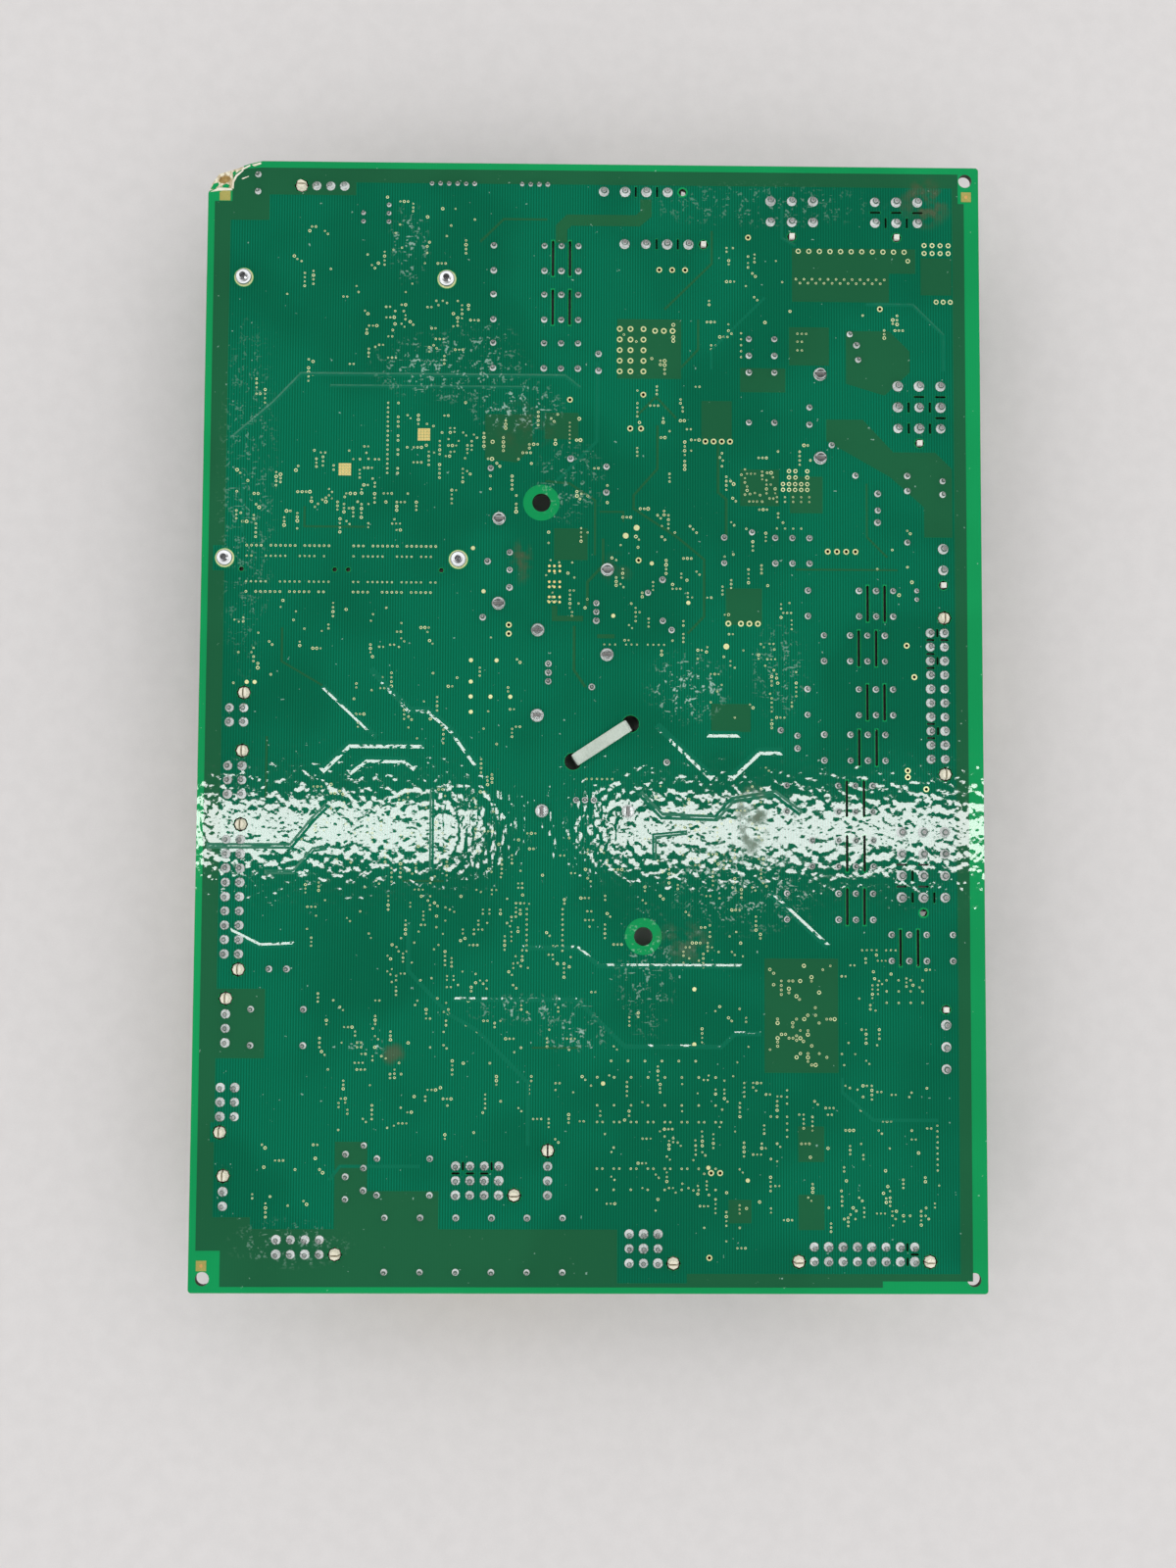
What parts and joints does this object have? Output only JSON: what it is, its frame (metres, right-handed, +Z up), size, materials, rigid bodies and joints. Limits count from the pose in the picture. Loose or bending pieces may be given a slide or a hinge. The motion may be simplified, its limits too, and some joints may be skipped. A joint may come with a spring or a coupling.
{
  "type": "control board",
  "caption": "Large control circuit board lying on its component side, solder side up, with pin headers, relays, heatsinks and a plug-in module below, one corner broken",
  "frame": {"origin": "centre of the underside of the overall box, on the plane that the heatsinks stand on", "axes": "+X to the right edge and +Y to the top edge as seen on the solder side, +Z up, out of the solder side"},
  "size_m": [0.23, 0.332, 0.0288],
  "materials": {
    "board_laminate": "gloss",
    "module_laminate": "gloss",
    "contact_metal": "bright",
    "header_natural": "satin",
    "header_cream": "satin",
    "relay_case": "satin",
    "heatsink_metal": "anodised",
    "chip_black": "matt",
    "screw_metal": "bright",
    "film_case": "satin",
    "choke_core": "satin",
    "varistor_coat": "matt",
    "can_sleeve": "gloss",
    "ring_coat": "satin",
    "winding_wire": "varnished",
    "tie_nylon": "satin",
    "connector_dark": "satin",
    "solder": "bright"
  },
  "bodies": {
    "root": {"cable_tie": "tie_nylon", "circuit_board": "board_laminate", "disc_varistors": "varistor_coat", "film_capacitors": "film_case", "heatsink_1": "heatsink_metal", "heatsink_2": "heatsink_metal", "heatsink_3": "heatsink_metal", "heatsink_4": "heatsink_metal", "heatsink_5": "heatsink_metal", "mains_chokes": "choke_core", "module_board": "module_laminate", "module_chips": "chip_black", "module_connectors": "connector_dark", "module_screws": "screw_metal", "module_spacers": "screw_metal", "pin_strips": "contact_metal", "power_header_pins": "contact_metal", "power_header_right_1": "header_natural", "power_header_right_2": "header_natural", "power_header_right_3": "header_natural", "power_header_right_4": "header_natural", "power_header_top_1": "header_natural", "power_header_top_2": "header_natural", "power_header_top_3": "header_natural", "power_header_top_4": "header_natural", "power_transistors": "chip_black", "relay_1": "relay_case", "relay_2": "relay_case", "relay_3": "relay_case", "relay_4": "relay_case", "relay_5": "relay_case", "relay_6": "relay_case", "relay_7": "relay_case", "relay_8": "relay_case", "relay_9": "relay_case", "ring_choke_core": "ring_coat", "ring_choke_winding": "winding_wire", "round_capacitors": "can_sleeve", "signal_header_bottom_1": "header_cream", "signal_header_bottom_2": "header_cream", "signal_header_bottom_3": "header_cream", "signal_header_bottom_4": "header_cream", "signal_header_bottom_5": "header_cream", "signal_header_left_1": "header_cream", "signal_header_left_2": "header_cream", "signal_header_left_3": "header_cream", "signal_header_left_4": "header_cream", "signal_header_left_5": "header_cream", "signal_header_left_6": "header_cream", "signal_header_pins": "contact_metal", "signal_header_right": "header_cream", "signal_header_top": "header_cream", "small_relay_1": "relay_case", "small_relay_2": "relay_case", "small_relay_3": "relay_case", "small_relay_4": "relay_case", "solder_joints": "solder", "surface_chips": "chip_black", "transistor_bolts": "screw_metal"}
  },
  "joints": []
}
